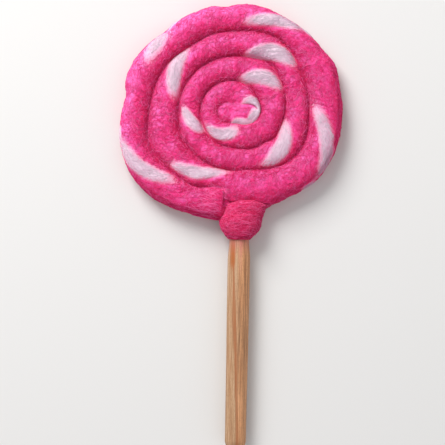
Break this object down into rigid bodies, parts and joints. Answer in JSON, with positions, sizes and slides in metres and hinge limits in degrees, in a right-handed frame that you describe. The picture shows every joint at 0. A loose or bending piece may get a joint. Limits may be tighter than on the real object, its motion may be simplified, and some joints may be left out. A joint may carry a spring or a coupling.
{
  "type": "felt toy lollipop",
  "caption": "Toy lollipop of felted wool: a twisted pink and white rope wound flat into a swirl, with a wound collar on a round wooden stick, lying on its back.",
  "frame": {"origin": "on the plane that the lollipop lies on, under the middle of its bounding box", "axes": "+Z out of the swirl's front, upwards as it lies; +Y from the stick's foot towards the swirl; +X to the right, seen from the front with the swirl above the stick"},
  "size_m": [0.0826, 0.1641, 0.0118],
  "materials": {
    "wool": "matt felted wool, hot pink with slanting white streaks",
    "collar_wool": "matt felted wool, wound round, hot pink",
    "stick_wood": "bare pale wood with an orange-brown streak along the grain"
  },
  "bodies": {
    "root": {"felt_coil": "wool", "felt_collar": "collar_wool", "wooden_stick": "stick_wood"}
  },
  "joints": []
}
